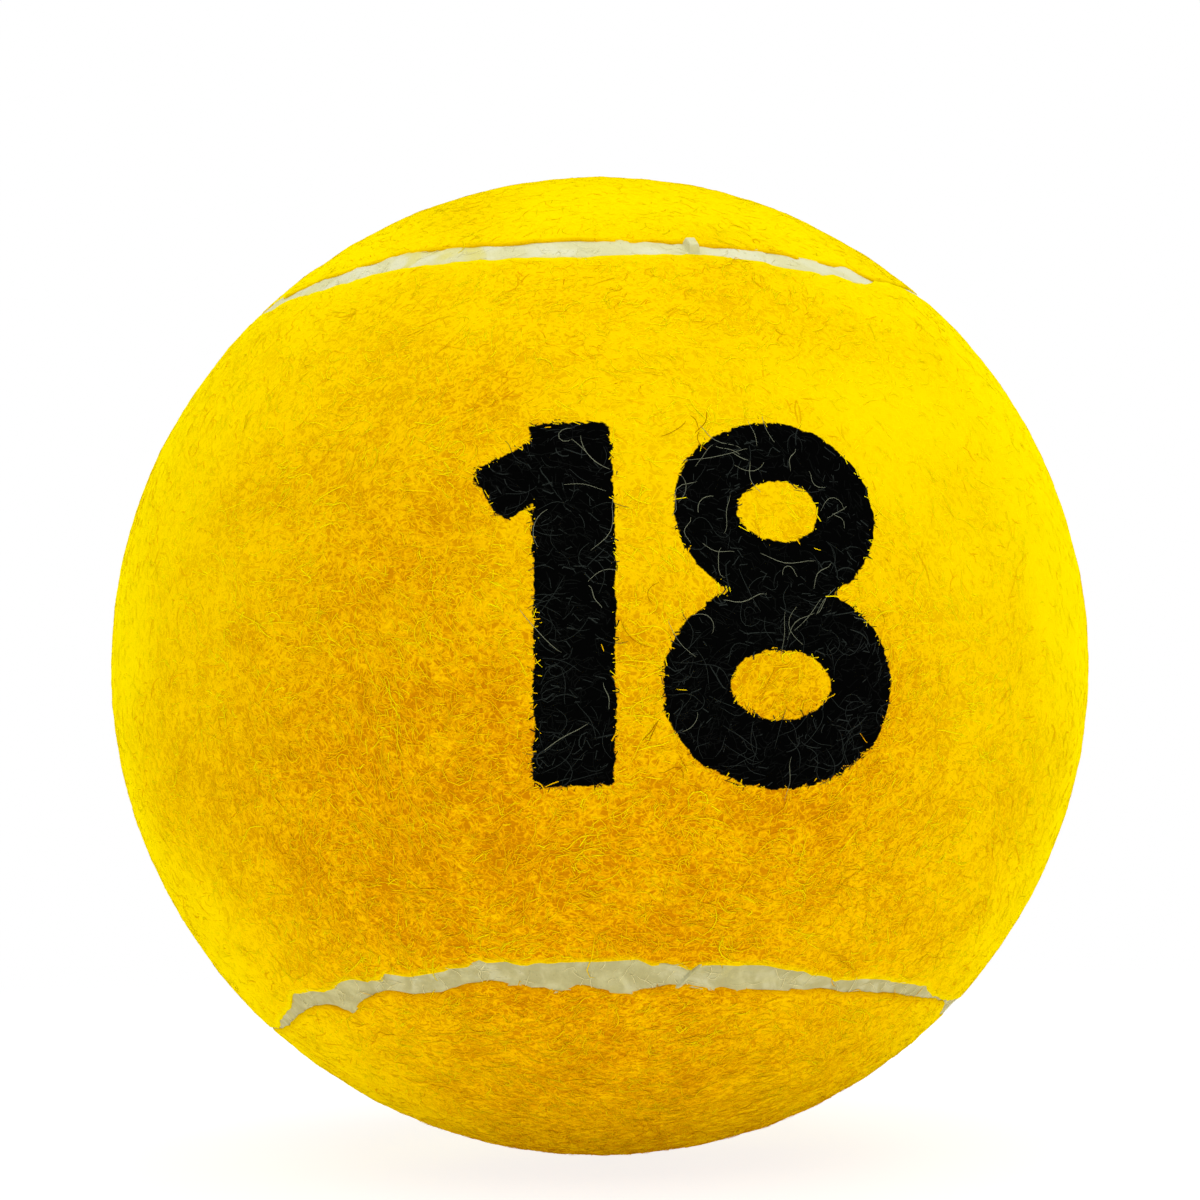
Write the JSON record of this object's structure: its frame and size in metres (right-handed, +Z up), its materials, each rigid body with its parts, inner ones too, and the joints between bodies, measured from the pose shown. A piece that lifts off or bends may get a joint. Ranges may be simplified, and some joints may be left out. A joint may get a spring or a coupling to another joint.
{
  "type": "tape ball",
  "caption": "Felt-covered rubber ball for tape-ball games: hollow core of joined half-shells, interlocking waisted felt panels and a moulded rubber seam.",
  "frame": {"origin": "centre of the ball", "axes": "-Y through the middle of the front panel's waist, X along that panel's length, +Z up along the rear panel's length"},
  "size_m": [0.0666, 0.0668, 0.0666],
  "materials": {
    "core_rubber": "moulded, matt",
    "cement": "cured rubber cement",
    "felt": "needle-punched wool and nylon felt, brushed nap",
    "seam_rubber": "moulded, matt, off-white"
  },
  "bodies": {
    "root": {"core_half_rear": "core_rubber", "core_half_front": "core_rubber", "core_joint_cement": "cement", "panel_cement_front": "cement", "panel_cement_rear": "cement", "felt_panel_front": "felt", "felt_panel_rear": "felt", "seam_band": "seam_rubber"}
  },
  "joints": []
}
